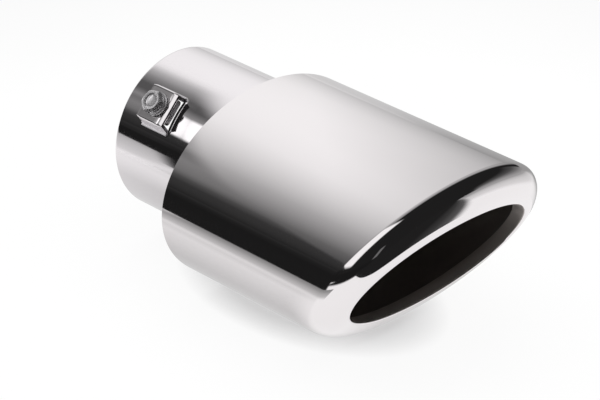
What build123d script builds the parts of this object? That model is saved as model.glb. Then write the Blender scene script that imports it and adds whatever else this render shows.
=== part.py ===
import os
from math import cos, radians, sin, tan

from build123d import *

# Inlet collar: a round tube that slips over the tail pipe, its rear rim on the YZ plane
COLLAR_BORE = 63.0
COLLAR_WALL = 1.5
COLLAR_REACH = 49.0  # rear rim of the collar to the rear rim of the shell
COLLAR_TUCK = 12.0  # length of collar inside the shell, from the shell's rear rim
COLLAR_RIM_CHAMFER = 0.4

# Outer shell: an oval tube cut on a slant, top side longer, with its front edge rolled in
SHELL_WIDTH = 105.0
SHELL_HEIGHT = 78.0
SHELL_WALL = 1.2
SHELL_DROP = 2.9  # shell axis below the collar axis
SHELL_LENGTH = 82.3  # rear rim to the crease of the lip, along the shell axis
SLASH_ANGLE = 30.5  # lean of the crease and of the mouth from upright
LIP_DEPTH = 12.0  # crease to mouth, along the shell axis
LIP_STEP = 15  # degrees of turn between the sections of the rolled edge
MOUTH_WIDTH = 86.8
MOUTH_HEIGHT = 47.0
MOUTH_DROP = 2.2  # mouth centre below the shell axis
RETURN_DEPTH = 5.5  # flange that the rolled edge turns back into the mouth
MOUTH_ROUND = 0.9  # between the lip and that flange
MOUTH_STEP = 30  # degrees of turn between the sections of that round

# End plate: a pressed oval cup that closes the shell round the collar
PLATE_WALL = 1.2
PLATE_RECESS = 1.5  # plate face in from the shell's rear rim
PLATE_SKIRT = 9.0
PLATE_BEND = 1.8  # outside radius of the bend between face and skirt
WELD_FIT = 0.1  # gap between welded pieces

# Screw pad: a strap of the collar, lanced free along both sides and pushed outwards
PAD_PLACE = 19.0  # pad centre from the collar's rear rim
PAD_ANGLE = 47.0  # from straight up towards the -Y side
PAD_WIDTH = 14.0  # along the collar
PAD_FLAT = 14.4  # flat top, round the collar
PAD_RISE = 4.5  # flat top above the collar's outside
PAD_RAMP = 78.0  # slope of the strap's two ends
PAD_BEND = 2.0  # outside radius of the strap's bends
PAD_EDGE_ROUND = 0.6  # along the strap's two long edges, from the lancing
SLIT_WIDTH = 1.4

# Clamp screw with its washers above the strap and its nut under it
SCREW_DIAMETER = 5.0
SCREW_LENGTH = 7.6
SCREW_POINT = 0.6
HEAD_FLATS = 8.0
HEAD_HEIGHT = 2.6
HEAD_TURN = 15.0  # as it stopped when tightened
HEAD_CHAMFER = 30.0
HEAD_DISH_DEPTH = 0.7
HEAD_DISH_RIM = 1.1  # rim left round the dish, at the flats
LOCK_DIAMETER = 9.2
LOCK_THICKNESS = 1.0
LOCK_GAP = 0.9
LOCK_GAP_LEAN = 25.0
FLAT_DIAMETER = 10.0
FLAT_THICKNESS = 0.8
NUT_WIDTH = 13.0  # along the collar
NUT_LENGTH = 11.0  # round the collar
NUT_THICKNESS = 3.0
NUT_CORNER = 1.0
SHANK_FIT = 0.15  # round the screw in the washers and the strap
THREAD_FIT = 0.05  # round the screw in the nut

os.makedirs("parts", exist_ok=True)

collar_radius = COLLAR_BORE / 2 + COLLAR_WALL
collar_end = COLLAR_REACH + COLLAR_TUCK
screw_radius = SCREW_DIAMETER / 2
forwards = Vector(1, 0, 0)


def slant_plane(along, drop):
    """A plane that leans back by the slash angle, through a point of the middle plane."""
    lean = radians(SLASH_ANGLE)
    return Plane(origin=(along, 0, -drop), x_dir=(0, 1, 0), z_dir=(cos(lean), 0, -sin(lean)))


def lip_section(turn, inset, rim):
    """Plane and radii of the oval section where the edge has rolled in by an angle.

    The turn runs from 0 on the tube wall to 90 at the mouth. The inset is how far this
    skin lies inside the sheet's outside, and the rim is how far from the mouth it ends.
    """
    lean = radians(SLASH_ANGLE)
    depth = LIP_DEPTH - inset / cos(lean)
    gather = 1 - cos(radians(turn))
    half_width = SHELL_WIDTH / 2 - inset
    half_width += (MOUTH_WIDTH / 2 + rim - half_width) * gather
    half_height = SHELL_HEIGHT / 2 - inset
    half_height += (MOUTH_HEIGHT / 2 + rim - half_height) * gather
    along = COLLAR_REACH + SHELL_LENGTH + depth * sin(radians(turn))
    along -= MOUTH_DROP * gather * tan(lean)
    return slant_plane(along, SHELL_DROP + MOUTH_DROP * gather), half_width, half_height / cos(lean)


def mouth_section(depth, rim):
    """Plane and radii of the oval section of the mouth at a depth, and its rim's width there."""
    lean = radians(SLASH_ANGLE)
    along = COLLAR_REACH + SHELL_LENGTH + LIP_DEPTH - MOUTH_DROP * tan(lean) - depth / cos(lean)
    half_height = (MOUTH_HEIGHT / 2 + rim) / cos(lean)
    return slant_plane(along, SHELL_DROP + MOUTH_DROP), MOUTH_WIDTH / 2 + rim, half_height


rear_plane = Plane(origin=(COLLAR_REACH, 0, -SHELL_DROP), x_dir=(0, 1, 0), z_dir=forwards)
with BuildPart() as outer_shell:
    # The oval tube behind the crease and the rolled edge in front of it, outside then inside
    for inset, rim, mode in ((0, MOUTH_ROUND, Mode.ADD), (SHELL_WALL, SHELL_WALL, Mode.SUBTRACT)):
        with BuildSketch(rear_plane):
            Ellipse(SHELL_WIDTH / 2 - inset, SHELL_HEIGHT / 2 - inset)
        crease_plane, half_width, half_height = lip_section(0, inset, rim)
        with BuildSketch(crease_plane):
            Ellipse(half_width, half_height)
        loft(ruled=True, mode=mode)
        for turn in range(0, 90 + LIP_STEP, LIP_STEP):
            turn_plane, half_width, half_height = lip_section(turn, inset, rim)
            with BuildSketch(turn_plane):
                Ellipse(half_width, half_height)
        loft(mode=mode)
    # The flange that turns back into the mouth, and the round between it and the lip
    flange_plane, half_width, half_height = mouth_section(SHELL_WALL / 2, SHELL_WALL)
    with BuildSketch(flange_plane):
        Ellipse(half_width, half_height)
    extrude(amount=RETURN_DEPTH, dir=-forwards)
    bore_plane, half_width, half_height = mouth_section(MOUTH_ROUND, 0)
    with BuildSketch(bore_plane):
        Ellipse(half_width, half_height)
    extrude(amount=2 * RETURN_DEPTH, dir=-forwards, mode=Mode.SUBTRACT)
    for turn in range(0, 90 + MOUTH_STEP, MOUTH_STEP):
        depth = MOUTH_ROUND * (1 - cos(radians(turn)))
        turn_plane, half_width, half_height = mouth_section(depth, MOUTH_ROUND * (1 - sin(radians(turn))))
        with BuildSketch(turn_plane):
            Ellipse(half_width, half_height)
    loft(ruled=True, mode=Mode.SUBTRACT)
outer_shell.part.label = "outer_shell"
export_step(outer_shell.part, "parts/outer_shell.step")

with BuildPart() as rear_plate:
    plate_plane = rear_plane.offset(PLATE_RECESS)
    skirt_half_width = SHELL_WIDTH / 2 - SHELL_WALL - WELD_FIT
    skirt_half_height = SHELL_HEIGHT / 2 - SHELL_WALL - WELD_FIT
    with BuildSketch(plate_plane):
        Ellipse(skirt_half_width, skirt_half_height)
    extrude(amount=PLATE_SKIRT)
    fillet(rear_plate.edges().group_by(Axis.X)[0], radius=PLATE_BEND)
    with BuildSketch(plate_plane.offset(PLATE_WALL)):
        Ellipse(skirt_half_width - PLATE_WALL, skirt_half_height - PLATE_WALL)
    extrude(amount=PLATE_SKIRT, mode=Mode.SUBTRACT)
    with BuildSketch(Plane.YZ.offset(COLLAR_REACH)):
        Circle(collar_radius + WELD_FIT)
    extrude(amount=PLATE_SKIRT, mode=Mode.SUBTRACT)
rear_plate.part.label = "rear_plate"
export_step(rear_plate.part, "parts/rear_plate.step")

# Radial plane of the pad: x along the collar, y round it, z outwards through the screw
pad_lean = radians(PAD_ANGLE)
pad_plane = Plane(origin=(PAD_PLACE, 0, 0), x_dir=(1, 0, 0), z_dir=(0, -sin(pad_lean), cos(pad_lean)))
strap_top = collar_radius + PAD_RISE
strap_under = strap_top - COLLAR_WALL
ramp = radians(PAD_RAMP)
# End-on plane of the strap: x round the collar, y outwards through the screw
strap_plane = Plane(origin=pad_plane.origin, x_dir=pad_plane.y_dir, z_dir=forwards)


def strap_corners(top, half_flat, depth):
    """Flat top with a ramp down at each end, as far as the given depth below the top."""
    foot = half_flat + depth / tan(ramp)
    return (-foot, top - depth), (foot, top - depth), (half_flat, top), (-half_flat, top)


# The strap as a solid block, before it joins the collar and is cut free underneath
strap_depth = PAD_RISE + COLLAR_BORE / 8
outwards = Axis(origin=(0, 0, 0), direction=pad_plane.z_dir)
with BuildPart() as strap_block:
    with BuildSketch(strap_plane) as strap_outside:
        Polygon(*strap_corners(strap_top, PAD_FLAT / 2, strap_depth), align=None)
        fillet(strap_outside.vertices().group_by(outwards)[-1], radius=PAD_BEND)
    extrude(amount=PAD_WIDTH / 2, both=True)
    strap_sides = strap_block.faces().filter_by(Axis.X)
    long_edges = [edge for side in strap_sides for edge in side.edges().sort_by(outwards)[1:]]
    fillet(long_edges, radius=PAD_EDGE_ROUND)

with BuildPart() as inlet_collar:
    with BuildSketch(Plane.YZ):
        Circle(collar_radius)
    extrude(amount=collar_end)
    add(strap_block.part)
    with BuildSketch(Plane.YZ):
        Circle(COLLAR_BORE / 2)
    extrude(amount=collar_end, mode=Mode.SUBTRACT)
    under_half_flat = PAD_FLAT / 2 - COLLAR_WALL * tan((radians(90) - ramp) / 2)
    with BuildSketch(strap_plane) as strap_inside:
        Polygon(*strap_corners(strap_under, under_half_flat, strap_depth), align=None)
        fillet(strap_inside.vertices().group_by(outwards)[-1], radius=PAD_BEND - COLLAR_WALL)
    extrude(amount=PAD_WIDTH / 2 + SLIT_WIDTH, both=True, mode=Mode.SUBTRACT)
    with BuildSketch(pad_plane.offset(strap_under)):
        Circle(screw_radius + SHANK_FIT)
    extrude(amount=2 * COLLAR_WALL, mode=Mode.SUBTRACT)
    rear_rim = inlet_collar.edges().group_by(Axis.X)[0]
    chamfer(rear_rim.sort_by(SortBy.RADIUS)[-1], length=COLLAR_RIM_CHAMFER)
inlet_collar.part.label = "inlet_collar"
export_step(inlet_collar.part, "parts/inlet_collar.step")

with BuildPart() as flat_washer:
    with BuildSketch(pad_plane.offset(strap_top)):
        Circle(FLAT_DIAMETER / 2)
        Circle(screw_radius + SHANK_FIT, mode=Mode.SUBTRACT)
    extrude(amount=FLAT_THICKNESS)
flat_washer.part.label = "flat_washer"
export_step(flat_washer.part, "parts/flat_washer.step")

lock_base = strap_top + FLAT_THICKNESS
with BuildPart() as lock_washer:
    with BuildSketch(pad_plane.offset(lock_base)):
        Circle(LOCK_DIAMETER / 2)
        Circle(screw_radius + SHANK_FIT, mode=Mode.SUBTRACT)
    extrude(amount=LOCK_THICKNESS)
    gap_shift = LOCK_THICKNESS * tan(radians(LOCK_GAP_LEAN))
    gap_plane = Plane(origin=pad_plane.origin, x_dir=pad_plane.x_dir, z_dir=-pad_plane.y_dir)
    with BuildSketch(gap_plane):
        gap_low = -(LOCK_GAP + gap_shift) / 2
        Polygon(
            (gap_low, lock_base),
            (gap_low + LOCK_GAP, lock_base),
            (gap_low + LOCK_GAP + gap_shift, lock_base + LOCK_THICKNESS),
            (gap_low + gap_shift, lock_base + LOCK_THICKNESS),
            align=None,
        )
    extrude(amount=LOCK_DIAMETER, mode=Mode.SUBTRACT)
lock_washer.part.label = "lock_washer"
export_step(lock_washer.part, "parts/lock_washer.step")

head_base = lock_base + LOCK_THICKNESS
with BuildPart() as clamp_screw:
    with BuildSketch(pad_plane.offset(head_base)):
        RegularPolygon(HEAD_FLATS / 2, 6, major_radius=False, rotation=HEAD_TURN)
    extrude(amount=HEAD_HEIGHT)
    head_cone_base = HEAD_FLATS / 2 + HEAD_HEIGHT / tan(radians(HEAD_CHAMFER))
    with BuildSketch(pad_plane.offset(head_base)):
        Circle(head_cone_base)
    extrude(amount=HEAD_HEIGHT, taper=90 - HEAD_CHAMFER, mode=Mode.INTERSECT)
    with BuildSketch(pad_plane.offset(head_base + HEAD_HEIGHT)):
        Circle(HEAD_FLATS / 2 - HEAD_DISH_RIM)
    extrude(amount=-HEAD_DISH_DEPTH, taper=HEAD_CHAMFER, mode=Mode.SUBTRACT)
    with BuildSketch(pad_plane.offset(head_base)):
        Circle(screw_radius)
    extrude(amount=-SCREW_LENGTH)
    chamfer(clamp_screw.edges().sort_by(outwards)[0], length=SCREW_POINT)
clamp_screw.part.label = "clamp_screw"
export_step(clamp_screw.part, "parts/clamp_screw.step")

with BuildPart() as screw_nut:
    with BuildSketch(pad_plane.offset(strap_under)):
        RectangleRounded(NUT_WIDTH, NUT_LENGTH, NUT_CORNER)
        Circle(screw_radius + THREAD_FIT, mode=Mode.SUBTRACT)
    extrude(amount=-NUT_THICKNESS)
screw_nut.part.label = "screw_nut"
export_step(screw_nut.part, "parts/screw_nut.step")
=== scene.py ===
from math import asin, atan2, cos, pi, radians, sin, tan

import bmesh
import bpy
from mathutils import Matrix, Vector


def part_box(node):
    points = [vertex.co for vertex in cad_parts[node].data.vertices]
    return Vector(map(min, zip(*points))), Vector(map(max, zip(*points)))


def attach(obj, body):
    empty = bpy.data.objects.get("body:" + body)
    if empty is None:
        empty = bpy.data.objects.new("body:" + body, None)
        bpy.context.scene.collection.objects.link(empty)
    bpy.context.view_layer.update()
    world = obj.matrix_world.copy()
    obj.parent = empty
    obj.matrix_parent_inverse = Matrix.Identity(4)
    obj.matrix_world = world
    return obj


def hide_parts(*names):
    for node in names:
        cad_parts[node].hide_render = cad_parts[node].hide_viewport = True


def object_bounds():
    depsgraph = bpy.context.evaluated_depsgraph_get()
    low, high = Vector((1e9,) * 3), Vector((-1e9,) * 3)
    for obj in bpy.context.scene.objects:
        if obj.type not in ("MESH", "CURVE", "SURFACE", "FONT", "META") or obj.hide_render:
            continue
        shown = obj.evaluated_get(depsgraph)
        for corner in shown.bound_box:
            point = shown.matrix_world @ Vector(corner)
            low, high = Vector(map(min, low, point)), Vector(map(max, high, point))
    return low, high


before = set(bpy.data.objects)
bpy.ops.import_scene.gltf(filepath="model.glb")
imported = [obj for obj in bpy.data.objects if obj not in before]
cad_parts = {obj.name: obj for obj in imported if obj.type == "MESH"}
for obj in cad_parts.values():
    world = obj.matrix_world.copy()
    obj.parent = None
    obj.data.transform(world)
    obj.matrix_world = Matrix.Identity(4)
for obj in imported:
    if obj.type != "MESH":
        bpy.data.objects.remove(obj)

cad_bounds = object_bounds()
scene = bpy.context.scene

# Inlet collar
# A tube of polished stainless sheet that slips over the tail pipe, its rear rim at x = 0.
# A strap is lanced free along both sides and pushed outwards as the pad of the clamp screw.
collar_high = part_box("inlet_collar")[1] * 1000
COLLAR_RADIUS = collar_high.y
COLLAR_LENGTH = collar_high.x
COLLAR_WALL = 1.5
COLLAR_SEGMENTS = 768
RIM_ROUND = 0.4
REAR_RINGS = [1.0, 5.0]
FRONT_RINGS = [34.0, 44.0]
PAD_PLACE = 19.0
PAD_ANGLE = 47.0
STRAP_HALF_WIDTH = 7.0
STRAP_HALF_FLAT = 7.2
STRAP_TOP = 37.5
STRAP_BEND = 0.7
RAMP_ABOVE = radians(88.0)
RAMP_BELOW = radians(78.0)
FOOT_ABOVE = 0.6
FOOT_BELOW = 1.7
SLIT_WIDTH = 0.3
SLIT_STEPS_ABOVE = 28
SLIT_STEPS_BELOW = 32
CURL_WIDTH = 2.8
CURL_DROP = 0.42
CURL_FADE = 1.0
CURL_RINGS = 5
DRAG_WIDTH = 1.6
DRAG_RISE = 0.5
DRAG_FADE = 2.0
DRAG_RINGS = 4
CUT_ROUND = 0.12
CUT_ANGLE = 70.0
ON_EDGE = 0.001
OFF_TUBE = 0.02


def linear(colour):
    """Linear RGBA of a colour written as sRGB hex."""
    parts = [int(colour[start:start + 2], 16) / 255 for start in (1, 3, 5)]
    return [part / 12.92 if part <= 0.04045 else ((part + 0.055) / 1.055) ** 2.4 for part in parts] + [1]


def empty_tree(owner):
    """Gives a material or the world a node tree with nothing in it."""
    owner.use_nodes = True
    owner.node_tree.nodes.clear()
    return owner.node_tree


def add_node(tree, kind, inputs=(), **settings):
    """Adds a node with its settings, and gives each listed input a value or a link."""
    added = tree.nodes.new(kind)
    for name, value in settings.items():
        setattr(added, name, value)
    for socket, value in dict(inputs).items():
        if isinstance(value, bpy.types.NodeSocket):
            tree.links.new(value, added.inputs[socket])
        else:
            added.inputs[socket].default_value = value
    return added


def steel(name, colour, roughness, spread, grain, wave, swell=24.0, metallic=1.0):
    """Steel with a grain in its roughness, on a face that waves by a height over a swell, in mm."""
    material = bpy.data.materials.new(name)
    tree = empty_tree(material)
    place = add_node(tree, "ShaderNodeTexCoord")
    fine = add_node(tree, "ShaderNodeTexNoise",
                    {"Vector": place.outputs["Object"], "Scale": 1000 / grain, "Detail": 4.0})
    rough = add_node(tree, "ShaderNodeMapRange",
                     {"Value": fine.outputs["Fac"], "From Min": 0.3, "From Max": 0.7,
                      "To Min": roughness - spread, "To Max": roughness + spread})
    slow = add_node(tree, "ShaderNodeTexNoise",
                    {"Vector": place.outputs["Object"], "Scale": 1000 / swell, "Detail": 1.0})
    bump = add_node(tree, "ShaderNodeBump",
                    {"Height": slow.outputs["Fac"], "Distance": wave / 1000, "Strength": 1.0})
    shader = add_node(tree, "ShaderNodeBsdfPrincipled",
                      {"Base Color": linear(colour), "Metallic": metallic,
                       "Roughness": rough.outputs["Result"], "Normal": bump.outputs["Normal"]})
    add_node(tree, "ShaderNodeOutputMaterial", {"Surface": shader.outputs["BSDF"]})
    return material


def oval(along, half_width, half_height, drop=0.0, slope=0.0):
    """Places the unit circle as an oval across X, its top leaned forwards by a slope."""
    return Matrix(((0, slope * half_height, 1, along), (half_width, 0, 0, 0),
                   (0, half_height, 0, -drop), (0, 0, 0, 1)))


def pull_ring(bm, sections, segments):
    """Pulls a ring in an empty mesh from each placing of the unit circle to the next, and lists its bands."""
    bmesh.ops.create_circle(bm, segments=segments, radius=1.0, matrix=sections[0])
    edges = bm.edges[:]
    bands = []
    for here, there in zip(sections, sections[1:]):
        pulled = bmesh.ops.extrude_edge_only(bm, edges=edges)["geom"]
        verts = [part for part in pulled if isinstance(part, bmesh.types.BMVert)]
        edges = [part for part in pulled if isinstance(part, bmesh.types.BMEdge)]
        bmesh.ops.transform(bm, matrix=there @ here.inverted(), verts=verts)
        bands.append([face for edge in edges for face in edge.link_faces])
    return bands


def add_object(name, bm, materials):
    """Puts a mesh with its materials into the scene."""
    mesh = bpy.data.meshes.new(name)
    bm.to_mesh(mesh)
    bm.free()
    for material in materials:
        mesh.materials.append(material)
    added = bpy.data.objects.new(name, mesh)
    scene.collection.objects.link(added)
    return added


def make_piece(name, bm, materials, sharp=35.0):
    """Turns a mesh drawn in mm into a smooth object in metres, with edges over an angle kept sharp."""
    bmesh.ops.remove_doubles(bm, verts=bm.verts, dist=0.0005)
    bmesh.ops.recalc_face_normals(bm, faces=bm.faces)
    bmesh.ops.scale(bm, vec=(0.001, 0.001, 0.001), verts=bm.verts)
    piece = add_object(name, bm, materials)
    piece.data.polygons.foreach_set("use_smooth", [True] * len(piece.data.polygons))
    piece.data.set_sharp_from_angle(angle=radians(sharp))
    return piece


def turn_to_pad(bm):
    """Turns a mesh that is drawn with the strap on top, so that the strap comes to its side of the tube."""
    bmesh.ops.rotate(bm, cent=(0, 0, 0), matrix=Matrix.Rotation(radians(PAD_ANGLE), 3, "X"), verts=bm.verts)


def strap_end(ramp, foot):
    """Length of the strap's end wall above its hollow foot, and how far round the tube that foot ends."""
    centre = Vector((STRAP_HALF_FLAT + foot * sin(ramp), STRAP_TOP + foot * cos(ramp)))
    slide = Vector((cos(ramp), -sin(ramp)))
    reach = centre.dot(slide)
    fall = -reach - (reach ** 2 - centre.length_squared + (COLLAR_RADIUS + foot) ** 2) ** 0.5
    foot_turn = asin((centre + fall * slide).x / (COLLAR_RADIUS + foot))
    return fall - STRAP_BEND * tan(ramp / 2), foot_turn


def strap_point(length, flat, ramp, wall, foot):
    """Place across, height and slope of the strap's outside at a length from its middle."""
    past_flat = max(length - flat, 0)
    past_bend = max(past_flat - STRAP_BEND * ramp, 0)
    bend = min(past_flat / STRAP_BEND, ramp)
    rest = ramp - max(past_bend - wall, 0) / foot
    across = min(length, flat) + STRAP_BEND * sin(bend)
    across += min(past_bend, wall) * cos(ramp) + foot * (sin(ramp) - sin(rest))
    drop = STRAP_BEND * (1 - cos(bend))
    drop += min(past_bend, wall) * sin(ramp) + foot * (cos(rest) - cos(ramp))
    return across, STRAP_TOP - drop, min(bend, rest)


# Wheel polish leaves stainless tube a near mirror that wavers a little. The bore keeps the mill's dull
# grey, and the strap's end walls are frosted where the punch stretched them. The real grain is a few
# hundredths of a millimetre, too fine to show, so each is drawn coarser.
collar_steel = steel("polished_stainless_tube", "#EAE6E8",
                     roughness=0.065, spread=0.012, grain=1.5, wave=0.006)
bore_steel = steel("dull_stainless_tube", "#57524F", roughness=0.5, spread=0.08, grain=0.9, wave=0.02)
drawn_steel = steel("stretched_stainless_tube", "#D9D6D9",
                    roughness=0.34, spread=0.05, grain=0.5, wave=0.01, swell=3.0)
collar_finishes = [collar_steel, bore_steel, drawn_steel, bore_steel]

edge_places = [STRAP_HALF_WIDTH - CURL_WIDTH * (CURL_RINGS - ring) / CURL_RINGS
               for ring in range(CURL_RINGS + 1)]
edge_places += [STRAP_HALF_WIDTH + SLIT_WIDTH + DRAG_WIDTH * ring / DRAG_RINGS
                for ring in range(DRAG_RINGS + 1)]
stations = REAR_RINGS + [PAD_PLACE - place for place in reversed(edge_places)]
stations += [PAD_PLACE + place for place in edge_places] + FRONT_RINGS + [COLLAR_LENGTH]
collar_sections = []
for degrees in range(0, 91, 30):
    inset = RIM_ROUND * (1 - sin(radians(degrees)))
    along = RIM_ROUND * (1 - cos(radians(degrees)))
    collar_sections.append(oval(along, COLLAR_RADIUS - inset, COLLAR_RADIUS - inset))
collar_sections += [oval(along, COLLAR_RADIUS, COLLAR_RADIUS) for along in stations]
collar_mesh = bmesh.new()
pull_ring(collar_mesh, collar_sections, COLLAR_SEGMENTS)

slit_faces = []
for face in collar_mesh.faces:
    middle = face.calc_center_median()
    past_strap = abs(middle.x - PAD_PLACE) - STRAP_HALF_WIDTH
    steps = atan2(middle.y, middle.z) * COLLAR_SEGMENTS / (2 * pi)
    if 0 < past_strap < SLIT_WIDTH and -SLIT_STEPS_BELOW < steps < SLIT_STEPS_ABOVE:
        slit_faces.append(face)
bmesh.ops.delete(collar_mesh, geom=slit_faces, context="FACES")

# The strap is pushed out along its outline, with its long edges curled down. The tube beside each slit
# is dragged up a little with it.
strap_above = RAMP_ABOVE, FOOT_ABOVE, SLIT_STEPS_ABOVE, *strap_end(RAMP_ABOVE, FOOT_ABOVE)
strap_below = RAMP_BELOW, FOOT_BELOW, SLIT_STEPS_BELOW, *strap_end(RAMP_BELOW, FOOT_BELOW)
for vert in collar_mesh.verts:
    turn = atan2(vert.co.y, vert.co.z)
    ramp, foot, steps, wall, foot_turn = strap_above if turn > 0 else strap_below
    slit_turn = 2 * pi * steps / COLLAR_SEGMENTS
    inset = STRAP_HALF_WIDTH - abs(vert.co.x - PAD_PLACE)
    if abs(turn) < foot_turn and inset > -ON_EDGE:
        flat = STRAP_HALF_FLAT - STRAP_BEND * tan(ramp / 2)
        round_length = foot * (ramp - foot_turn)
        slit_length = flat + STRAP_BEND * ramp + wall + round_length / 2
        past_slit = max(abs(turn) - slit_turn, 0) / (foot_turn - slit_turn)
        length = min(abs(turn) / slit_turn, 1) * slit_length + past_slit * round_length / 2
        across, height, slope = strap_point(length, flat, ramp, wall, foot)
        curl = max(1 - inset / CURL_WIDTH, 0) ** 2 * CURL_DROP
        curl *= min(max(slit_length - length, 0) / CURL_FADE, 1)
        vert.co.y = (across - curl * sin(slope)) * (1 if turn > 0 else -1)
        vert.co.z = height - curl * cos(slope)
    elif abs(turn) < slit_turn and -inset < SLIT_WIDTH + DRAG_WIDTH:
        drag = (1 + (inset + SLIT_WIDTH) / DRAG_WIDTH) ** 2 * DRAG_RISE
        vert.co.z += drag * min((slit_turn - abs(turn)) * COLLAR_RADIUS / DRAG_FADE, 1)
for face in collar_mesh.faces:
    middle = face.calc_center_median()
    in_strap = abs(middle.x - PAD_PLACE) < STRAP_HALF_WIDTH and middle.z > 0
    if in_strap and middle.z < STRAP_TOP - STRAP_BEND and middle.yz.length > COLLAR_RADIUS + OFF_TUBE:
        face.material_index = collar_finishes.index(drawn_steel)
turn_to_pad(collar_mesh)
collar = make_piece("collar_tube", collar_mesh, collar_finishes, sharp=80.0)
sheet = collar.modifiers.new("sheet thickness", "SOLIDIFY")
sheet.thickness = COLLAR_WALL / 1000
sheet.offset = -1.0
sheet.use_even_offset = True
sheet.material_offset = 1
cut_edges = collar.modifiers.new("rounded cut edges", "BEVEL")
cut_edges.width = CUT_ROUND / 1000
cut_edges.segments = 2
cut_edges.limit_method = "ANGLE"
cut_edges.angle_limit = radians(CUT_ANGLE)
cut_edges.harden_normals = True
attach(collar, "root")
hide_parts("inlet_collar")

# End plate
# A pressed oval cup of satin stainless sheet, slid inside the shell's rear end with its
# skirt forwards and welded to the shell and round the collar.
plate_low, plate_high = [corner * 1000 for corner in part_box("rear_plate")]
PLATE_FACE = plate_low.x
PLATE_SKIRT = plate_high.x - plate_low.x
PLATE_HALF_WIDTH = (plate_high.y - plate_low.y) / 2
PLATE_HALF_HEIGHT = (plate_high.z - plate_low.z) / 2
OVAL_DROP = -(plate_high.z + plate_low.z) / 2
PLATE_WALL = 1.2
PLATE_BEND = 1.8
PLATE_SEGMENTS = 128
PLATE_GAP = 0.1
PLATE_HOLE = COLLAR_RADIUS + PLATE_GAP


def plate_section(along, inset):
    """Section of the plate at a depth, drawn in from its outline by an inset."""
    return oval(PLATE_FACE + along, PLATE_HALF_WIDTH - inset, PLATE_HALF_HEIGHT - inset, OVAL_DROP)


hole_rear = oval(PLATE_FACE, PLATE_HOLE, PLATE_HOLE)
hole_front = oval(PLATE_FACE + PLATE_WALL, PLATE_HOLE, PLATE_HOLE)
inner_bend = PLATE_BEND - PLATE_WALL
plate_sections = [hole_rear]
for degrees in range(0, 91, 15):
    depth = PLATE_BEND * (1 - cos(radians(degrees)))
    plate_sections.append(plate_section(depth, PLATE_BEND * (1 - sin(radians(degrees)))))
plate_sections += [plate_section(PLATE_SKIRT, 0), plate_section(PLATE_SKIRT, PLATE_WALL)]
for degrees in range(90, -1, -15):
    depth = PLATE_BEND - inner_bend * cos(radians(degrees))
    plate_sections.append(plate_section(depth, PLATE_BEND - inner_bend * sin(radians(degrees))))
plate_sections += [hole_front, hole_rear]
plate_mesh = bmesh.new()
pull_ring(plate_mesh, plate_sections, PLATE_SEGMENTS)
# Pressed stainless keeps the satin of the rolled sheet, a soft grey sheen with no clear reflection.
# The rolled grain is drawn coarser than it is, so that it shows.
plate_steel = steel("satin_stainless_plate", "#B9B8B9", roughness=0.32, spread=0.06, grain=0.6, wave=0.01)
plate = make_piece("end_plate", plate_mesh, [plate_steel])
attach(plate, "root")
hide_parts("rear_plate")

# Outer shell
# An oval tube of stainless sheet, cut on a slant and polished to a mirror outside. Its front
# edge is rolled in to a lip and turned back into the mouth as a short flange.
shell_low, shell_high = [corner * 1000 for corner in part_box("outer_shell")]
SHELL_MARGIN = 0.01
SHELL_REAR = shell_low.x
SHELL_HALF_WIDTH = (shell_high.y - shell_low.y) / 2 - SHELL_MARGIN
SHELL_HALF_HEIGHT = (shell_high.z - shell_low.z) / 2 - SHELL_MARGIN
SHELL_CREASE = 131.28
SHELL_WALL = 1.2
SHELL_SEGMENTS = 256
SLASH_ANGLE = radians(30.5)
SLASH = tan(SLASH_ANGLE)
SLANT = cos(SLASH_ANGLE)
LIP_DEPTH = 12.0
MOUTH_HALF_WIDTH = 43.4
MOUTH_HALF_HEIGHT = 23.5
MOUTH_DROP = 2.2
MOUTH_ROUND = 0.9
POLISHED_ROUNDS = 4
FLANGE_DEPTH = 5.5
FLANGE_RINGS = [2.0, 4.0, FLANGE_DEPTH]
TUBE_RINGS = 24
REAR_SHARES = [0, 0.002, 0.01]
CREASE_SHARES = [0.985, 0.997]
INSIDE_SHARES = [0.75, 0.5, 0.25, 0.01, 0]


def tube_section(share, inset):
    """Section of the tube at a share of the way from its square rear end to its slanted crease."""
    return oval(SHELL_REAR + (SHELL_CREASE - SHELL_REAR) * share, SHELL_HALF_WIDTH - inset,
                SHELL_HALF_HEIGHT - inset, OVAL_DROP, SLASH * share)


def lip_section(degrees, inset, rim):
    """Section of the lip where the edge has rolled in by an angle, for the outside or inside skin."""
    gather = 1 - cos(radians(degrees))
    half_width = SHELL_HALF_WIDTH - inset
    half_height = SHELL_HALF_HEIGHT - inset
    half_width += (MOUTH_HALF_WIDTH + rim - half_width) * gather
    half_height += (MOUTH_HALF_HEIGHT + rim - half_height) * gather
    along = SHELL_CREASE + (LIP_DEPTH - inset / SLANT) * sin(radians(degrees)) - MOUTH_DROP * gather * SLASH
    return oval(along, half_width, half_height, OVAL_DROP + MOUTH_DROP * gather, SLASH)


def mouth_section(depth, rim):
    """Section of the mouth at a depth behind its edge."""
    along = SHELL_CREASE + LIP_DEPTH - MOUTH_DROP * SLASH - depth / SLANT
    return oval(along, MOUTH_HALF_WIDTH + rim, MOUTH_HALF_HEIGHT + rim, OVAL_DROP + MOUTH_DROP, SLASH)


# The outside is buffed to a mirror that hardly wavers, and the inside keeps the mill's dull grey. The
# flange is brushed by the rolling tool and blurs what it mirrors. Each grain is drawn coarser than it
# is, so that it shows.
shell_steel = steel("mirror_stainless_sheet", "#EBE7E8",
                    roughness=0.055, spread=0.012, grain=1.5, wave=0.006)
inner_steel = steel("dull_stainless_sheet", "#857E79",
                    roughness=0.5, spread=0.08, grain=0.9, wave=0.02, metallic=0.8)
flange_steel = steel("brushed_stainless_sheet", "#B4ADA9",
                     roughness=0.38, spread=0.06, grain=0.7, wave=0.02, metallic=0.58)
shell_finishes = [shell_steel, inner_steel, flange_steel]

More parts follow.
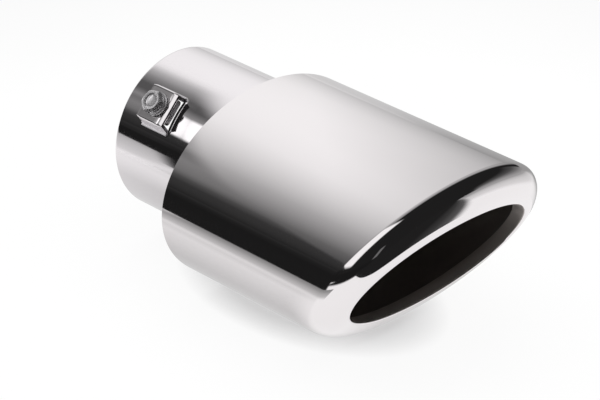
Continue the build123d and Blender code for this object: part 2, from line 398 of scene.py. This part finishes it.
# Rings set close to the rear edge and to the crease keep the shading even up to both.
tube_shares = REAR_SHARES + [ring / TUBE_RINGS for ring in range(1, TUBE_RINGS)] + CREASE_SHARES
outside = [tube_section(share, 0) for share in tube_shares]
outside += [lip_section(degrees, 0, MOUTH_ROUND) for degrees in range(0, 88, 3)]
flange_start = len(outside) + POLISHED_ROUNDS
for degrees in range(0, 91, 15):
    depth = MOUTH_ROUND * (1 - cos(radians(degrees)))
    outside.append(mouth_section(depth, MOUTH_ROUND * (1 - sin(radians(degrees)))))
outside += [mouth_section(depth, 0) for depth in FLANGE_RINGS]
inside_start = len(outside) - 1
inside = [mouth_section(FLANGE_DEPTH, SHELL_WALL), mouth_section(FLANGE_RINGS[0], SHELL_WALL)]
inside += [lip_section(degrees, SHELL_WALL, SHELL_WALL) for degrees in range(87, -1, -6)]
inside += [tube_section(share, SHELL_WALL) for share in INSIDE_SHARES]
shell_mesh = bmesh.new()
bands = pull_ring(shell_mesh, outside + inside + outside[:1], SHELL_SEGMENTS)
for finish, part in ((flange_steel, bands[flange_start:inside_start]), (inner_steel, bands[inside_start:-1])):
    for band in part:
        for face in band:
            face.material_index = shell_finishes.index(finish)
shell = make_piece("oval_shell", shell_mesh, shell_finishes, sharp=50.0)
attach(shell, "root")
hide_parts("outer_shell")

# Plate nut
# A small zinc-plated steel plate with a threaded hole, cut from bar with rounded corners.
# It lies captive under the strap, so that it cannot turn while the screw is tightened.
NUT_HALF_WIDTH = 6.5
NUT_HALF_LENGTH = 5.5
NUT_THICKNESS = 3.0
NUT_TOP = STRAP_TOP - COLLAR_WALL
NUT_BASE = NUT_TOP - NUT_THICKNESS
NUT_HOLE = 2.55
NUT_SEGMENTS = 96
CORNER_POWER = 9


def upright_ring(height, radius):
    """Places the unit circle round the clamp screw at a height over the collar's axis."""
    return Matrix.Translation((PAD_PLACE, 0, height)) @ Matrix.Diagonal((radius, radius, 1, 1))


nut_mesh = bmesh.new()
pull_ring(nut_mesh, [upright_ring(NUT_BASE, NUT_HOLE), upright_ring(NUT_BASE, NUT_HALF_WIDTH),
                     upright_ring(NUT_TOP, NUT_HALF_WIDTH), upright_ring(NUT_TOP, NUT_HOLE),
                     upright_ring(NUT_BASE, NUT_HOLE)], NUT_SEGMENTS)
for vert in nut_mesh.verts:
    out = Vector((vert.co.x - PAD_PLACE, vert.co.y))
    if out.length > NUT_HALF_LENGTH:
        wide = (abs(out.x) / NUT_HALF_WIDTH) ** CORNER_POWER
        long = (abs(out.y) / NUT_HALF_LENGTH) ** CORNER_POWER
        squarer = (wide + long) ** (1 / CORNER_POWER)
        vert.co.x = PAD_PLACE + out.x / squarer
        vert.co.y = out.y / squarer
turn_to_pad(nut_mesh)
# Bright zinc plating is a cool pale metal that blurs what it mirrors, with small dents from the plating
# drum. Its crystals are too fine to show, so the grain is drawn at half a millimetre.
zinc = steel("bright_zinc_plate", "#E0DEE0",
             roughness=0.2, spread=0.06, grain=0.5, wave=0.03, swell=1.6, metallic=0.86)
nut = make_piece("plate_nut", nut_mesh, [zinc])
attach(nut, "root")
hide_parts("screw_nut")

# Flat washer
# A ring punched from steel sheet and zinc-plated, its upper edge rounded by the punch.
# It lies on the strap round the screw and spreads the load of the head.
FLAT_RADIUS = 5.0
FLAT_BASE = STRAP_TOP
FLAT_THICKNESS = 0.8
FLAT_ROUND = 0.25
FLAT_ROUND_MIDDLE = 0.07
FLAT_SEGMENTS = 64
WASHER_HOLE = 2.65
flat_top = FLAT_BASE + FLAT_THICKNESS
flat_mesh = bmesh.new()
pull_ring(flat_mesh, [upright_ring(FLAT_BASE, WASHER_HOLE), upright_ring(FLAT_BASE, FLAT_RADIUS),
                      upright_ring(flat_top - FLAT_ROUND, FLAT_RADIUS),
                      upright_ring(flat_top - FLAT_ROUND_MIDDLE, FLAT_RADIUS - FLAT_ROUND_MIDDLE),
                      upright_ring(flat_top, FLAT_RADIUS - FLAT_ROUND),
                      upright_ring(flat_top, WASHER_HOLE), upright_ring(FLAT_BASE, WASHER_HOLE)],
          FLAT_SEGMENTS)
turn_to_pad(flat_mesh)
flat_washer = make_piece("washer_flat", flat_mesh, [zinc])
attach(flat_washer, "root")
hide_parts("flat_washer")

# Lock washer
# A ring coiled from flat spring wire and zinc-plated, its two ends a little apart.
# It is pressed flat under the screw's head and keeps the screw from working loose.
LOCK_RADIUS = 4.6
LOCK_BASE = flat_top
LOCK_THICKNESS = 1.0
LOCK_GAP = 0.9
LOCK_ROUND = 0.25
LOCK_STEPS = 60
lock_middle = (LOCK_RADIUS + WASHER_HOLE) / 2
gap_turn = LOCK_GAP / lock_middle
lock_mesh = bmesh.new()
bmesh.ops.create_grid(lock_mesh, x_segments=1, y_segments=1, size=0.5)
bmesh.ops.scale(lock_mesh, vec=(LOCK_RADIUS - WASHER_HOLE, LOCK_THICKNESS, 1), verts=lock_mesh.verts)
bmesh.ops.bevel(lock_mesh, geom=lock_mesh.verts[:], offset=LOCK_ROUND, offset_type="OFFSET", segments=3,
                profile=0.5, affect="VERTICES", material=-1)
bmesh.ops.rotate(lock_mesh, cent=(0, 0, 0), matrix=Matrix.Rotation(pi / 2, 3, "X"), verts=lock_mesh.verts)
bmesh.ops.translate(lock_mesh, vec=(PAD_PLACE + lock_middle, 0, LOCK_BASE + LOCK_THICKNESS / 2),
                    verts=lock_mesh.verts)
bmesh.ops.rotate(lock_mesh, cent=(PAD_PLACE, 0, 0), matrix=Matrix.Rotation(gap_turn / 2 - pi / 2, 3, "Z"),
                 verts=lock_mesh.verts)
# The spin uses up the wire's end face, so a copy of it stays behind to close the other end.
wire_end = lock_mesh.faces[:]
bmesh.ops.duplicate(lock_mesh, geom=wire_end)
bmesh.ops.spin(lock_mesh, geom=wire_end, cent=(PAD_PLACE, 0, 0), axis=(0, 0, 1),
               angle=2 * pi - gap_turn, steps=LOCK_STEPS)
turn_to_pad(lock_mesh)
lock_washer = make_piece("washer_lock", lock_mesh, [zinc])
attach(lock_washer, "root")
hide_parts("lock_washer")

# Clamp screw
# A zinc-plated steel screw, its dished hexagon head formed cold and its thread rolled.
# It goes through both washers and the strap into the nut, and clamps the collar on the pipe.
HEAD_FLATS = 8.0
HEAD_BASE = LOCK_BASE + LOCK_THICKNESS
HEAD_HEIGHT = 2.6
HEAD_TURN = radians(15.0)
HEAD_SEAT = 3.9
HEAD_SEAT_RISE = 0.15
CHAMFER_ANGLE = radians(30.0)
CHAMFER_INSET = 0.25
DISH_RADIUS = 2.9
DISH_DEPTH = 0.7
DISH_RIM = 0.15
DISH_STEP = 0.1
DISH_POWER = 0.6
SHANK_RADIUS = 2.5
SHANK_TIP = 31.7
TIP_CHAMFER = 0.6
THREAD_PITCH = 0.8
THREAD_CREST = 0.1
THREAD_ROOT = 0.4
THREAD_DEPTH = 0.4
THREAD_END = 36.2
SCREW_SEGMENTS = 72
TIP_POLE = 0.01
DISH_POLE = 0.002
ON_HEAD = 0.01
head_half = HEAD_FLATS / 2
head_top = HEAD_BASE + HEAD_HEIGHT
# The thread's turns are drawn as closed rings at the real pitch, most of them hidden in the nut.
screw_sections = [upright_ring(SHANK_TIP, TIP_POLE), upright_ring(SHANK_TIP, SHANK_RADIUS - TIP_CHAMFER)]
crest = SHANK_TIP + TIP_CHAMFER
while crest < THREAD_END:
    screw_sections += [upright_ring(crest, SHANK_RADIUS), upright_ring(crest + THREAD_CREST, SHANK_RADIUS),
                       upright_ring(crest + THREAD_ROOT, SHANK_RADIUS - THREAD_DEPTH)]
    crest += THREAD_PITCH
screw_sections += [upright_ring(crest, SHANK_RADIUS), upright_ring(HEAD_BASE, SHANK_RADIUS),
                   upright_ring(HEAD_BASE, HEAD_SEAT), upright_ring(HEAD_BASE + HEAD_SEAT_RISE, head_half),
                   upright_ring(head_top, head_half), upright_ring(head_top, head_half - CHAMFER_INSET),
                   upright_ring(head_top, DISH_RADIUS + DISH_RIM),
                   upright_ring(head_top - DISH_STEP, DISH_RADIUS)]
for degrees in range(15, 91, 15):
    sunk = DISH_STEP + (DISH_DEPTH - DISH_STEP) * sin(radians(degrees))
    dish = DISH_RADIUS * max(cos(radians(degrees)) ** DISH_POWER, DISH_POLE)
    screw_sections.append(upright_ring(head_top - sunk, dish))
screw_mesh = bmesh.new()
pull_ring(screw_mesh, screw_sections, SCREW_SEGMENTS)
bmesh.ops.holes_fill(screw_mesh, edges=screw_mesh.edges[:], sides=0)
for vert in screw_mesh.verts:
    out = Vector((vert.co.x - PAD_PLACE, vert.co.y))
    if abs(out.length - head_half) < ON_HEAD:
        facet = (atan2(out.y, out.x) - HEAD_TURN) % (pi / 3) - pi / 6
        reach = head_half / cos(facet)
        vert.co.x = PAD_PLACE + out.x * reach / out.length
        vert.co.y = out.y * reach / out.length
        if vert.co.z > HEAD_BASE + HEAD_HEIGHT / 2:
            vert.co.z = head_top - (reach - head_half + CHAMFER_INSET) * tan(CHAMFER_ANGLE)
turn_to_pad(screw_mesh)
screw = make_piece("screw_hexagon", screw_mesh, [zinc], sharp=25.0)
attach(screw, "root")
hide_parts("clamp_screw")

# Floor
# A table top painted matt white, on which the part lies, with sizes in metres. To the camera and
# in the metal most of its white is a painted glow, standing in for a brightly lit table. The glow is
# less under the part, where the lamp's shadow shows, and glow and paint grey off away from the part
# as painted shade.
FLOOR_HEIGHT = cad_bounds[0][2]
FLOOR_HALF = 4.0
FLOOR_MIDDLE = (0.075, 0, FLOOR_HEIGHT)
FLOOR_WHITE = 0.21
FLOOR_GREY = 0.55
GREY_SHARE = 0.85
STIPPLE_SIZE = 10 / 3
# The oval of the shadow is given as one over its half length and half width.
SHADOW_OVAL = (11.8, 18.5, 0)
SHADOW_INSIDE = 0.5
SHADOW_OUTSIDE = 0.75
GLOW_INSIDE = 0.45
GLOW_OUTSIDE = 0.93
table_paint_and_glow = bpy.data.materials.new("matt_white_paint_and_glow")
table_tree = empty_tree(table_paint_and_glow)
place = add_node(table_tree, "ShaderNodeTexCoord")
stipple = add_node(table_tree, "ShaderNodeTexNoise",
                   {"Vector": place.outputs["Object"], "Scale": 1000 / STIPPLE_SIZE})
offset = add_node(table_tree, "ShaderNodeVectorMath", {0: place.outputs["Object"], 1: FLOOR_MIDDLE},
                  operation="SUBTRACT")
distance = add_node(table_tree, "ShaderNodeVectorMath", {0: offset.outputs["Vector"]}, operation="LENGTH")
# Painted shade: the glow and the paint grey off away from the part.
fade = add_node(table_tree, "ShaderNodeMapRange",
                {"Value": distance.outputs["Value"], "From Min": FLOOR_WHITE, "From Max": FLOOR_GREY,
                 "To Min": 1.0, "To Max": GREY_SHARE})
tone = add_node(table_tree, "ShaderNodeMapRange",
                {"Value": stipple.outputs["Fac"],
                 "To Min": linear("#EFEFEF")[0], "To Max": linear("#F3F3F3")[0]})
shade = add_node(table_tree, "ShaderNodeMath", {0: tone.outputs["Result"], 1: fade.outputs["Result"]},
                 operation="MULTIPLY")
paint = add_node(table_tree, "ShaderNodeBsdfDiffuse", {"Color": shade.outputs["Value"]})
white = add_node(table_tree, "ShaderNodeEmission", {"Strength": fade.outputs["Result"]})
ray = add_node(table_tree, "ShaderNodeLightPath")
seen = ray.outputs["Is Camera Ray"]
for other in ("Is Glossy Ray", "Is Transmission Ray"):
    either = add_node(table_tree, "ShaderNodeMath", {0: seen, 1: ray.outputs[other]}, operation="MAXIMUM")
    seen = either.outputs["Value"]
under = add_node(table_tree, "ShaderNodeVectorMath", {0: offset.outputs["Vector"], 1: SHADOW_OVAL},
                 operation="MULTIPLY")
away = add_node(table_tree, "ShaderNodeVectorMath", {0: under.outputs["Vector"]}, operation="LENGTH")
# Less painted glow under the part, so that the lamp's real shadow shows there.
lit = add_node(table_tree, "ShaderNodeMapRange",
               {"Value": away.outputs["Value"], "From Min": SHADOW_INSIDE, "From Max": SHADOW_OUTSIDE,
                "To Min": GLOW_INSIDE, "To Max": GLOW_OUTSIDE})
share = add_node(table_tree, "ShaderNodeMath", {0: seen, 1: lit.outputs["Result"]}, operation="MULTIPLY")
mixed = add_node(table_tree, "ShaderNodeMixShader",
                 {0: share.outputs["Value"], 1: paint.outputs["BSDF"], 2: white.outputs["Emission"]})
add_node(table_tree, "ShaderNodeOutputMaterial", {"Surface": mixed.outputs["Shader"]})
floor_mesh = bmesh.new()
bmesh.ops.create_grid(floor_mesh, x_segments=1, y_segments=1, size=FLOOR_HALF)
bmesh.ops.translate(floor_mesh, vec=(0, 0, FLOOR_HEIGHT), verts=floor_mesh.verts)
floor = add_object("floor", floor_mesh, [table_paint_and_glow])

# Light
# A wide soft sky that is bright behind the part and dark in front of it, with a soft window on
# the left. To the camera it is a white backdrop, and the metal gets a small share of that white.
SKY_BRIGHTEST = (0, 0.574, 0.819)
SKY_STOPS = ((0.33, 0.02), (0.41, 0.06), (0.496, 0.135), (0.65, 0.43), (0.83, 0.93), (0.88, 1.0))
SKY_BEHIND = -0.5
SKY_FRONT = -0.4
FRONT_LEVEL = 0.02
SIDEWAYS = (1, 0.02, 0)
FULL_SIDE = -0.628
DIM_SIDE = -0.55
DIM_LEVEL = 0.42
WINDOW_EDGES = (("X", -0.58, -0.54), ("X", -0.15, -0.22), ("Z", 0.2, 0.28), ("Y", -0.22, -0.3))
MIRRORED_WHITE = 0.014
SKY_STRENGTH = 1.06


def set_stops(ramp, stops):
    """Gives a colour ramp its grey stops, each a place and a level."""
    elements = ramp.color_ramp.elements
    while len(elements) < len(stops):
        elements.new(1.0)
    for element, (position, level) in zip(elements, stops):
        element.position = position
        element.color = (level, level, level, 1)


world = bpy.data.worlds.new("studio")
scene.world = world
sky_tree = empty_tree(world)
place = add_node(sky_tree, "ShaderNodeTexCoord")
axes = add_node(sky_tree, "ShaderNodeSeparateXYZ", {"Vector": place.outputs["Generated"]})
toward = add_node(sky_tree, "ShaderNodeVectorMath", {0: place.outputs["Generated"], 1: SKY_BRIGHTEST},
                  operation="DOT_PRODUCT")
climb = add_node(sky_tree, "ShaderNodeMapRange",
                 {"Value": toward.outputs["Value"], "From Min": -1.0, "From Max": 1.0})
sky = add_node(sky_tree, "ShaderNodeValToRGB", {"Fac": climb.outputs["Result"]})
set_stops(sky, SKY_STOPS)
sideways = add_node(sky_tree, "ShaderNodeVectorMath", {0: place.outputs["Generated"], 1: SIDEWAYS},
                    operation="DOT_PRODUCT")
dim = add_node(sky_tree, "ShaderNodeMapRange",
               {"Value": sideways.outputs["Value"], "From Min": FULL_SIDE, "From Max": DIM_SIDE,
                "To Min": 1.0, "To Max": DIM_LEVEL})
dimmed = add_node(sky_tree, "ShaderNodeMath", {0: sky.outputs["Color"], 1: dim.outputs["Result"]},
                  operation="MULTIPLY")
behind = add_node(sky_tree, "ShaderNodeMapRange",
                  {"Value": axes.outputs["X"], "From Min": SKY_BEHIND, "From Max": SKY_FRONT,
                   "To Min": 1.0, "To Max": FRONT_LEVEL})
back_light = add_node(sky_tree, "ShaderNodeMath", {0: dimmed.outputs["Value"], 1: behind.outputs["Result"]},
                      operation="MULTIPLY")
window = 1.0
for axis, clear, full in WINDOW_EDGES:
    edge = add_node(sky_tree, "ShaderNodeMapRange",
                    {"Value": axes.outputs[axis], "From Min": clear, "From Max": full})
    pane = add_node(sky_tree, "ShaderNodeMath", {0: window, 1: edge.outputs["Result"]}, operation="MULTIPLY")
    window = pane.outputs["Value"]
both = add_node(sky_tree, "ShaderNodeMath", {0: back_light.outputs["Value"], 1: window}, operation="MAXIMUM")
ray = add_node(sky_tree, "ShaderNodeLightPath")
mirrored = add_node(sky_tree, "ShaderNodeMath",
                    {0: ray.outputs["Is Glossy Ray"], 1: ray.outputs["Is Transmission Ray"]},
                    operation="MAXIMUM")
backdrop = add_node(sky_tree, "ShaderNodeMath",
                    {0: mirrored.outputs["Value"], 1: MIRRORED_WHITE, 2: ray.outputs["Is Camera Ray"]},
                    operation="MULTIPLY_ADD")
shown = add_node(sky_tree, "ShaderNodeMath", {0: both.outputs["Value"], 1: backdrop.outputs["Value"]},
                 operation="MAXIMUM")
glow = add_node(sky_tree, "ShaderNodeBackground", {"Color": shown.outputs["Value"], "Strength": SKY_STRENGTH})
add_node(sky_tree, "ShaderNodeOutputWorld", {"Surface": glow.outputs["Background"]})

# Top light
# A large soft box overhead that lights the table, in metres and watts.
# It is kept out of the camera's view and out of the reflections.
TOP_SIZE = 2.2
TOP_POWER = 43.0
TOP_PLACE = (0.3, 0.1, 1.6)
top_data = bpy.data.lights.new("top light", "AREA")
top_data.shape = "SQUARE"
top_data.size = TOP_SIZE
top_data.energy = TOP_POWER
top_light = bpy.data.objects.new("top light", top_data)
top_light.location = TOP_PLACE
top_light.visible_glossy = False
top_light.visible_camera = False
scene.collection.objects.link(top_light)

# Cards
# Cards that glow, that the camera doesn't see, and that show only as reflections in the metal.
# Flags are dark and make the black bands. Shades are greys that grade the pale parts, and the patch
# glows brighter than white. Each card's grey is a set glow, painted light and shade, not a lit colour.
FIBRE_SIZE = 2.0
# Directions along which the cards change their grey and fade out.
FORWARDS = (1, 0, 0)
SIDEWARDS = (0, 1, 0)
UPWARDS = (0, 0, 1)
OFF_FRONT = (-0.454, 0.891, 0)
OFF_FAR = (0.6, 0.8, 0)
OFF_TABLE = (0.94, -0.34, 0)
OFF_BACK = (0.78, 0.6, 0)
BLACK = ((-1, 0.012), (1, 0.012))


def add_card(name, corners, stops, along=SIDEWARDS, fades=()):
    """Adds a card that glows, with its four corners in mm, in two rows from left to right.

    The stops are places in mm along a direction with the brightness there. Each fade is a direction,
    a place in mm where the card is clear and a place where it is full.
    """
    card_glow = bpy.data.materials.new(name + " paper")
    tree = empty_tree(card_glow)
    place = add_node(tree, "ShaderNodeTexCoord")
    spot = add_node(tree, "ShaderNodeVectorMath", {0: place.outputs["Object"], 1: along},
                    operation="DOT_PRODUCT")
    first, last = stops[0][0], stops[-1][0]
    share = add_node(tree, "ShaderNodeMapRange",
                     {"Value": spot.outputs["Value"], "From Min": first / 1000, "From Max": last / 1000})
    ramp = add_node(tree, "ShaderNodeValToRGB", {"Fac": share.outputs["Result"]})
    set_stops(ramp, [((stop - first) / (last - first), level) for stop, level in stops])
    fibre = add_node(tree, "ShaderNodeTexNoise",
                     {"Vector": place.outputs["Object"], "Scale": 1000 / FIBRE_SIZE})
    tone = add_node(tree, "ShaderNodeMapRange",
                    {"Value": fibre.outputs["Fac"], "To Min": 0.95, "To Max": 1.05})
    glow = add_node(tree, "ShaderNodeEmission",
                    {"Color": ramp.outputs["Color"], "Strength": tone.outputs["Result"]})
    nothing = add_node(tree, "ShaderNodeBsdfTransparent")
    surface = glow.outputs["Emission"]
    for direction, clear, full in fades:
        spot = add_node(tree, "ShaderNodeVectorMath", {0: place.outputs["Object"], 1: direction},
                        operation="DOT_PRODUCT")
        mask = add_node(tree, "ShaderNodeMapRange",
                        {"Value": spot.outputs["Value"], "From Min": clear / 1000, "From Max": full / 1000},
                        interpolation_type="SMOOTHSTEP")
        mixed = add_node(tree, "ShaderNodeMixShader",
                         {0: mask.outputs["Result"], 1: nothing.outputs["BSDF"], 2: surface})
        surface = mixed.outputs["Shader"]
    add_node(tree, "ShaderNodeOutputMaterial", {"Surface": surface})
    card_mesh = bmesh.new()
    bmesh.ops.create_grid(card_mesh, x_segments=1, y_segments=1, size=0.5)
    for vert, corner in zip(card_mesh.verts, corners):
        vert.co = Vector(corner) / 1000
    card = add_object(name, card_mesh, [card_glow])
    card.visible_camera = False
    card.visible_diffuse = False
    card.visible_shadow = False


def flat_card(left, right, near, far, height):
    """Corners of a level card."""
    return (left, near, height), (right, near, height), (left, far, height), (right, far, height)


add_card("near flag", ((-104, -165, -42), (76, -165, -42), (-104, -165, 48), (76, -165, 48)), BLACK,
         fades=((UPWARDS, 48, 8), (FORWARDS, 76, 62), (FORWARDS, -104, -87)))
add_card("far flag", ((-600, -420, -42), (500, -420, -42), (-600, -420, 42), (500, -420, 42)), BLACK)
add_card("front flag", ((203, -60, -41), (172, 50, -41), (1000, -5000, -41), (5518, 2774, -41)),
         ((-94, 0.016), (-65, 0.045), (-48, 0.1)), along=OFF_FRONT, fades=((OFF_FRONT, -34, -49),))
add_card("side flag", flat_card(-60, 4500, -4500, -200, -41.2), BLACK,
         fades=((SIDEWARDS, -200, -270), (FORWARDS, -60, 20)))
add_card("far shade", flat_card(60, 3500, 60, 3500, -41.4),
         ((220, 0.85), (240, 0.78), (430, 0.5), (470, 0.41), (1500, 0.3)), along=OFF_FAR,
         fades=((OFF_FAR, 200, 235), (FORWARDS, 60, 130)))
add_card("far wall", ((-120, 900, -42), (1400, 900, -42), (-120, 900, 420), (1400, 900, 420)),
         ((-42, 0.35), (30, 0.27), (83, 0.19), (200, 0.08), (400, 0.02)), along=UPWARDS,
         fades=((FORWARDS, -120, -40), (FORWARDS, 1400, 1100)))
add_card("small card", ((335, -272, 28), (367, -244, 28), (335, -272, 130), (367, -244, 130)),
         ((-300, 0.16), (-200, 0.16)))
# The table shade is painted shade: the part's shade on the table as the metal mirrors it, darkest under the
# shell's side and towards the near flag.
add_card("table shade", flat_card(-110, 130, -110, 60, -41.5),
         ((-110, 0.6), (-102, 0.67), (-82, 0.84), (-66, 0.77), (-46, 0.63), (60, 0.76)),
         fades=((FORWARDS, -110, 25), (OFF_TABLE, 123, 104), (SIDEWARDS, -110, -90)))
# The near shade is a painted shadow of the near flag on the table, darkest at the flag's foot, as the metal
# mirrors it.
add_card("near shade", flat_card(-75, 110, -165, -95, -41.3), ((-165, 0.25), (-140, 0.35), (-95, 0.72)),
         fades=((FORWARDS, -75, -30), (SIDEWARDS, -95, -112)))
add_card("side shade", flat_card(-600, -50, -450, -90, -41.4),
         ((-450, 0.4), (-390, 0.46), (-177, 0.64), (-120, 0.75), (-90, 0.85)),
         fades=((SIDEWARDS, -90, -130), (FORWARDS, -50, -90)))
add_card("back shade", flat_card(-4300, 400, 100, 4300, -41.5),
         ((-60, 0.78), (-20, 0.74), (35, 0.67), (70, 0.62), (119, 0.43), (160, 0.35)), along=OFF_BACK,
         fades=((FORWARDS, 150, 90),))
add_card("high shade", flat_card(-500, -14, -450, 22, 100),
         ((-450, 0.02), (-229, 0.04), (-190, 0.08), (-153, 0.19), (-115, 0.24), (-92, 0.18), (-78, 0.27),
          (-59, 0.1), (-42, 0.1), (-24, 0.27), (-9, 0.5), (6, 0.88), (22, 1.0)),
         fades=((FORWARDS, -14, -38), (SIDEWARDS, 22, 0)))
add_card("patch", ((-44, -71, 89), (-24, -71, 89), (-44, -106, 45), (-24, -106, 45)),
         ((-106, 1.3), (-71, 1.3)), fades=((FORWARDS, -44, -35), (UPWARDS, 89, 82), (UPWARDS, 45, 52)))

# Camera
# A long lens before the mouth on the screw's side, above the part, in metres and degrees.
# Its place was fitted to the outlines of the tubes and the mouth in the photograph.
LENS = 168.14
SENSOR_WIDTH = 36.0
CAMERA_PLACE = (0.74448, -0.65484, 0.49572)
CAMERA_TILT = 61.899
CAMERA_TURN = 45.893
camera_data = bpy.data.cameras.new("camera")
camera_data.lens = LENS
camera_data.sensor_width = SENSOR_WIDTH
camera = bpy.data.objects.new("camera", camera_data)
camera.location = CAMERA_PLACE
camera.rotation_euler = (radians(CAMERA_TILT), 0, radians(CAMERA_TURN))
scene.collection.objects.link(camera)
scene.camera = camera
scene.view_settings.view_transform = "Standard"
